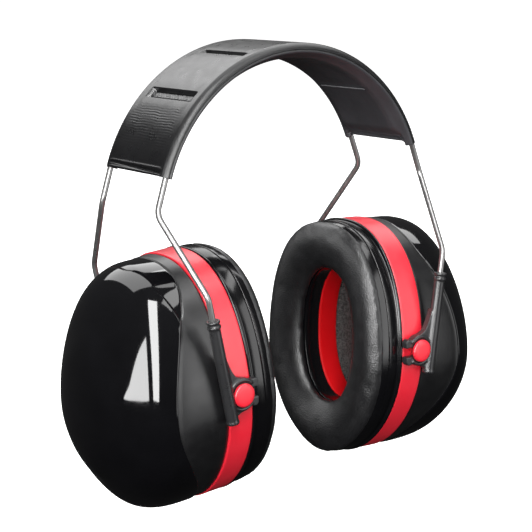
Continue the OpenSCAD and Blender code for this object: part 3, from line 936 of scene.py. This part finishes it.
# The wrinkles' rise and pitch, and where along the band they start and end
WRINKLE_RISE, WRINKLE_PITCH, WRINKLES_FROM, WRINKLES_TO = 0.022, 1.25, 59, 83
HEM_SET_BACK = {"left": math.radians(0.25), "right": math.radians(1.2)}


def band_section():
    """Half of the cover's section as (y, radius), from the middle of its top to that of its underside.

    The skin runs flat over the pad and the wire, then rolls down to a welded lip."""
    top, under, edge = BAND_R, BAND_R - PAD_DEPTH, WIRE_Y + TUNNEL_R
    upper = [(y, top) for y in np.linspace(0, GROOVE_REACH - 1.4, 24)]
    upper += [(y, top) for y in np.linspace(GROOVE_REACH - 1.15, GROOVE_REACH + 0.8, 12)]
    upper += [(WIRE_Y - 1.6, top - 0.02), (WIRE_Y - 0.7, top - 0.04), (WIRE_Y - 0.3, top - 0.08)]
    roll = [(WIRE_Y - 0.05, top - 0.2), (edge - 1.7, top - 0.66), (edge - 1.1, top - 1.2),
            (edge - 0.6, top - 1.85), (edge - 0.3, top - 2.4), (edge - 0.2, top - 2.75)]
    upper += smooth_curve(roll, 3)
    lip = [(edge - 0.45, top - 2.88), (edge - 0.5, top - 3.05), (edge - 0.15, top - 3.2), (edge, top - 3.45),
           (edge - 0.06, top - 3.8), (edge - 0.35, top - 4.2), (edge - 0.8, top - 4.5)]
    count = len(upper) - len(lip) - 9
    tuck = [(edge - 1.6, top - 4.8), (20.4, 68.5), (18.6, 67.65), (17.2, under + 0.15)]
    lower = smooth_curve(tuck, 3)[:-1] + [(y, under) for y in np.linspace(16.2, 0, count)]
    return np.array(upper + lip + lower)


def wrinkles(y, angle):
    """Fine cross wrinkles of the covers, where they are bent most, as a rise in millimetres."""
    along = np.abs(angle) * BAND_R
    waver = 0.12 * np.sin(y * 0.4 + 0.4) + 0.07 * np.sin(y * 0.9 + along * 0.3)
    wave = np.sin(2 * math.pi * (along / WRINKLE_PITCH + waver))
    uneven = 0.7 + 0.3 * np.sin(along * 0.7 + y * 0.25)
    place_on = smooth_step((along - WRINKLES_FROM) / 6) * smooth_step((WRINKLES_TO - along) / 9)
    return WRINKLE_RISE * wave * uneven * place_on * smooth_step((PAD_W + 1.5 - np.abs(y)) / 4)


def weld_groove(y, angle, at, half, forward):
    """Depth of a welded channel across the pad: a moat round a rippled floor, and puffed shoulders."""
    off = (np.abs(angle) - at) * BAND_R
    inside = np.minimum(np.minimum(GROOVE_REACH + y, forward - y), half - np.abs(off))
    channel = smooth_step(inside / 0.5 + 0.5)
    moat = MOAT_DEPTH * np.exp(-((half - np.abs(off) - 0.75) / 0.35) ** 2) * smooth_step(inside)
    beside = smooth_step((GROOVE_REACH - np.abs(y)) / 3)
    shoulder = 0.12 * np.exp(-((np.abs(off) - half - 3.0) / 3.0) ** 2) * beside
    floor = 0.10 * np.sin(y * 2.9 + 1.2 * np.sin(y * 0.9 + off)) * np.cos(off * 2.2 + 0.5 * np.sin(y * 1.7))
    rear = smooth_step((GROOVE_REACH + y) / 3.5)
    return (channel * (GROOVE_DEPTH + floor) + moat) * rear - shoulder * (1 - channel)


def band_shape(y, radius, angle, end_angle):
    """Moves a point of the section for grooves, wrinkles, the tapered ends and the folded hem."""
    top = radius > WIRE_RADIUS + 0.3
    pad = smooth_step((WIRE_Y - 0.8 - np.abs(y)) / 1.4)
    out = radius.copy()
    for at, half, forward in GROOVES:
        off = (np.abs(angle) - at) * BAND_R
        seam = np.exp(-(off / 0.45) ** 2) - 0.5 * np.exp(-((off + 1.2) / 0.7) ** 2)
        seam = seam * smooth_step((PAD_W - 2.0 - np.abs(y)) / 1.0)
        out = out + np.where(top, -weld_groove(y, angle, at, half, forward), 0.5 * seam) * pad
    out = out + np.where(top, wrinkles(y, angle), 0) * pad
    left = (end_angle - np.abs(angle)) * BAND_R
    taper = 1 - smooth_step(left / 10.0)
    thin = np.where(top, -0.55, (WIRE_RADIUS - 1.0 - out) * 0.85)
    out = out + thin * taper * pad
    fold = 0.4 * np.exp(-((left - 3.1) / 0.7) ** 2) - 0.6 * np.exp(-((left - 1.9 - 0.03 * y) / 0.5) ** 2)
    fold = fold + 0.3 * np.exp(-((left - 0.6) / 0.45) ** 2)
    return out + np.where(top, 1, -1) * fold * pad


def band_rows():
    """Angles of the rows along the whole band, closer together at the grooves and the ends."""
    rows = list(np.linspace(-1, 1, 281))
    for s in (-1, 1):
        for g, _, _ in GROOVES:
            rows += list(s * g / BAND_HALF + np.linspace(-0.05, 0.05, 61))
        rows += list(s * np.linspace(0.62, 0.92, 150)) + list(s * np.linspace(0.92, 1, 40))
    return np.unique(np.round(rows, 5))


def band_grid():
    """Points of the cover, row by row along the band and all round its section."""
    half = band_section()
    section = np.vstack([half, half[-2:0:-1] * (-1, 1)])
    y, radius = section[:, 0], section[:, 1]
    middle = smooth_step((PAD_W + 1.6 - np.abs(y)) / 2.2)
    grid = []
    for row in band_rows():
        end = BAND_HALF - HEM_SET_BACK["left" if row < 0 else "right"] * middle
        angle = row * end
        r = band_shape(y, radius, angle, end)
        grid.append(np.stack([r * np.sin(angle), y, BAND_Z + r * np.cos(angle)], 1))
    return np.array(grid), len(half)


def capped_strip(grid, half_count):
    """Points and faces of a strip whose two ends are closed by quads from top to underside."""
    rows, n = grid.shape[:2]
    faces = []
    for k in range(rows - 1):
        for i in range(n):
            j = (i + 1) % n
            faces.append((k * n + i, k * n + j, (k + 1) * n + j, (k + 1) * n + i))
    count = half_count - 1
    for row in (0, rows - 1):
        for sign in (1, -1):
            end = [row * n + (sign * i) % n for i in range(count + 1)]
            for i in range(count // 2):
                ring = list(dict.fromkeys([end[i], end[i + 1], end[count - i - 1], end[count - i]]))
                if len(ring) > 2:
                    faces.append(ring)
    return grid.reshape(-1, 3), faces


def skin_at(point, below):
    """Which material the cover wears: 0 on top, 1 the lining below, lightened with painted light from below,
    2 its weld lines, pale with a painted highlight, 3 the rolled edges.
    """
    x, y, z = point
    if not below:
        return 3 if abs(y) > WIRE_Y - 0.35 else 0
    along = abs(math.atan2(x, z - BAND_Z)) * BAND_R
    on_line = any(abs(along - at * BAND_R) < 0.42 for at, _, _ in GROOVES)
    return 2 if on_line and abs(y) < PAD_W - 2.4 else 1


def band_half(side, grid, half_count, normals):
    """One side of the headband cover, shaded with the whole band's normals so that no seam shows."""
    keep = SIGN[side] * grid[..., 0].mean(1) >= -1e-6
    part, flat = grid[keep], normals[keep].reshape(-1, 3)
    points, faces = capped_strip(part, half_count)
    n = grid.shape[1]
    under = np.abs(np.arange(n) - (half_count - 1)) < half_count // 2 - 4
    skins = [skin_at(points[f[0]], under[f[0] % n]) for f in faces]
    piece = mesh_piece(f"{side}_band_cover", points, faces, LEATHER, (LINING_PAINTED_LIGHT, WELD_HIGHLIGHT, EDGE_LEATHER), skins)
    mesh = piece.data
    loops = np.zeros((len(mesh.loops), 3))
    first_cap = (len(part) - 1) * n
    for face in mesh.polygons:
        for loop in face.loop_indices:
            v = mesh.loops[loop].vertex_index
            loops[loop] = face.normal if face.index >= first_cap else flat[v]
    mesh.normals_split_custom_set(loops.tolist())
    bend_with(piece,
              ["headband_upper_cover", "headband_lower_cover", "headband_foam"])


def grid_normals(grid):
    """Outward normals of a tube-like grid of points."""
    along = np.gradient(grid, axis=0)
    round_it = np.roll(grid, -1, 1) - np.roll(grid, 1, 1)
    n = np.cross(along, round_it)
    n /= np.linalg.norm(n, axis=2)[..., None] + 1e-12
    centre = grid.mean(1)[:, None, :]
    if ((grid - centre) * n).sum() < 0:
        n = -n
    return n


# ---- Putting it together ----

grid, half_count = band_grid()
normals = grid_normals(grid)
arm_points, arm_faces = right_rear_arm()
pad_points, pad_faces = cushion_loft()
pad_points, pad_faces = puffed(pad_points, pad_faces)
cushions = []
for side in SIDES:
    band_half(side, grid, half_count, normals)
    outer_shell(side)
    casing_ring(side)
    cushion_plate(side)
    inner_casing(side)
    foam_liner(side)
    cushions.append(cushion(side, pad_points, pad_faces))
    cushion_rim(side)
    for end in ENDS:
        half_wire(side, end)
        pivot_button(side, end)
        arm(side, end, arm_points, arm_faces)
    frame["nodes"][f"{side}_damping_foam"].material_slots[0].material = FOAM

# ---- Camera, floor and light ----

VIEW_AZIMUTH, VIEW_ELEVATION, VIEW_ROLL = (math.radians(a) for a in (-36.56, 12.4, -1.84))
VIEW_DISTANCE = 0.6897
VIEW_TARGET = Vector((-0.00192, 0.0, 0.04033))
VIEW_LENS, VIEW_SENSOR = 102.9, 36.0
LIGHT_TARGET, LIGHT_DISTANCE = Vector((0, 0, 0.04)), 1.2


def direction(azimuth, elevation):
    """Way from the object to something at that azimuth (0 is behind, towards -Y) and elevation."""
    return Vector((math.sin(azimuth) * math.cos(elevation), -math.cos(azimuth) * math.cos(elevation),
                   math.sin(elevation)))


def make_camera():
    """Camera that stands where the photo's did."""
    back = direction(VIEW_AZIMUTH, VIEW_ELEVATION)
    level = Vector((math.cos(VIEW_AZIMUTH), math.sin(VIEW_AZIMUTH), 0))
    up = back.cross(level)
    right = level * math.cos(VIEW_ROLL) + up * math.sin(VIEW_ROLL)
    up = back.cross(right)
    data = bpy.data.cameras.new("camera")
    data.lens = VIEW_LENS
    data.sensor_width = VIEW_SENSOR
    camera = new_object("camera", data)
    camera.matrix_world = Matrix.Translation(VIEW_TARGET + back * VIEW_DISTANCE) @ Matrix(
        (right, up, back)).transposed().to_4x4()
    bpy.context.scene.camera = camera


def softbox(name, azimuth, elevation, width, height, radiance, turn=0.0, slant=None, only=()):
    """Rectangular studio light aimed at the object, its size in degrees as the object sees it.

    A slant masks off what lies beyond a line, given by its share of the width at the top and at the foot.
    With only, it lights those pieces and no others."""
    way = direction(math.radians(azimuth), math.radians(elevation))
    data = bpy.data.lights.new(name, "AREA")
    data.shape = "RECTANGLE"
    data.size = 2 * LIGHT_DISTANCE * math.tan(math.radians(width / 2))
    data.size_y = 2 * LIGHT_DISTANCE * math.tan(math.radians(height / 2))
    data.energy = radiance * math.pi * data.size * data.size_y
    if slant is not None:
        mask_light(data, *slant)
    light = new_object(name, data)
    facing = way.to_track_quat("Z", "Y") @ Quaternion((0, 0, 1), math.radians(turn))
    moved = Matrix.Translation(LIGHT_TARGET + way * LIGHT_DISTANCE)
    light.matrix_world = moved @ facing.to_matrix().to_4x4()
    if only:
        lit = bpy.data.collections.new(f"{name}_reach")
        for piece in only:
            lit.objects.link(piece)
        light.light_linking.receiver_collection = lit


def mask_light(data, at_top, at_foot):
    """Lights only the part of a softbox on one side of a slanting line."""
    data.use_nodes = True
    t = data.node_tree
    place = add(t, "ShaderNodeSeparateXYZ")
    link(add(t, "ShaderNodeNewGeometry").outputs["Parametric"], place.inputs[0])
    line = spread(t, place.outputs["Y"], at_foot, at_top, 0.0, 1.0)
    side = add(t, "ShaderNodeMath", operation="GREATER_THAN")
    link(place.outputs["X"], side.inputs[0])
    link(line, side.inputs[1])
    link(side.outputs[0], t.nodes["Emission"].inputs["Strength"])


# The floor's half width, and how far it lies below the cups so that a lowered cup clears it
FLOOR_SIZE, FLOOR_DROP = 6.0, 0.035


def make_floor():
    """Pale floor, which neither reflects in the piece nor lights it."""
    size, z = FLOOR_SIZE, CAD_BOX[0][2] - FLOOR_DROP
    mesh = bpy.data.meshes.new("floor")
    corners = [(-size, -size, z), (size, -size, z), (size, size, z), (-size, size, z)]
    mesh.from_pydata(corners, [], [(0, 1, 2, 3)])
    m, t, shader, at = new_material("pale_floor")
    link(tint(t, noise(t, at, 3.0), (0.86, 0.86, 0.86), (0.9, 0.9, 0.9)), shader.inputs["Base Color"])
    set_inputs(shader, {"Roughness": 0.9, "Specular IOR Level": 0.0, "Emission Color": (1, 1, 1, 1),
                        "Emission Strength": 0.7})
    mesh.materials.append(m)
    floor = new_object("floor", mesh)
    floor.visible_glossy = False
    floor.visible_diffuse = False


# Brightness of the room from below and from above, as it lights and as it is reflected
ROOM_LIGHT, ROOM_REFLECTED = (0.10, 0.50), (0.012, 0.09)


def make_world():
    """White surroundings for the eye, and a room that grows lighter upwards for light and reflections."""
    world = bpy.data.worlds.new("studio")
    bpy.context.scene.world = world
    world.use_nodes = True
    t = world.node_tree
    back = t.nodes["Background"]
    upward = add(t, "ShaderNodeSeparateXYZ")
    link(add(t, "ShaderNodeTexCoord").outputs["Generated"], upward.inputs[0])
    path = add(t, "ShaderNodeLightPath")
    light = spread(t, upward.outputs["Z"], *ROOM_LIGHT, -0.6, 0.9)
    reflected = spread(t, upward.outputs["Z"], *ROOM_REFLECTED, -0.6, 0.9)
    room = chosen(t, path.outputs["Is Glossy Ray"], light, reflected)
    link(chosen(t, path.outputs["Is Camera Ray"], room, None), back.inputs["Strength"])
    back.inputs["Color"].default_value = (1, 1, 1, 1)


def chosen(tree, which, value, other):
    """One value where which is 0 and the other, or 1, where it is 1."""
    mix = add(tree, "ShaderNodeMix")
    link(which, mix.inputs["Factor"])
    link(value, mix.inputs["A"])
    mix.inputs["B"].default_value = 1.0
    if other is not None:
        link(other, mix.inputs["B"])
    return mix.outputs["Result"]


make_camera()
make_floor()
make_world()
softbox("key_strip", -32, 32, 14, 70, 15.0, turn=-7)
softbox("left_panel", -73, 14, 44, 37, 12.0, turn=4, slant=(1.0, 0.0))
softbox("left_fill", -122, 22, 80, 40, 1.6, only=cushions)
softbox("overhead", 166, 62, 54, 64, 2.9)
softbox("right_top", 106, 50, 34, 26, 3.4)
softbox("front_top", 38, 60, 36, 14, 4.0)
softbox("right_panel", 27, 10, 31, 50, 2.4)
bpy.context.scene.view_settings.view_transform = "Standard"
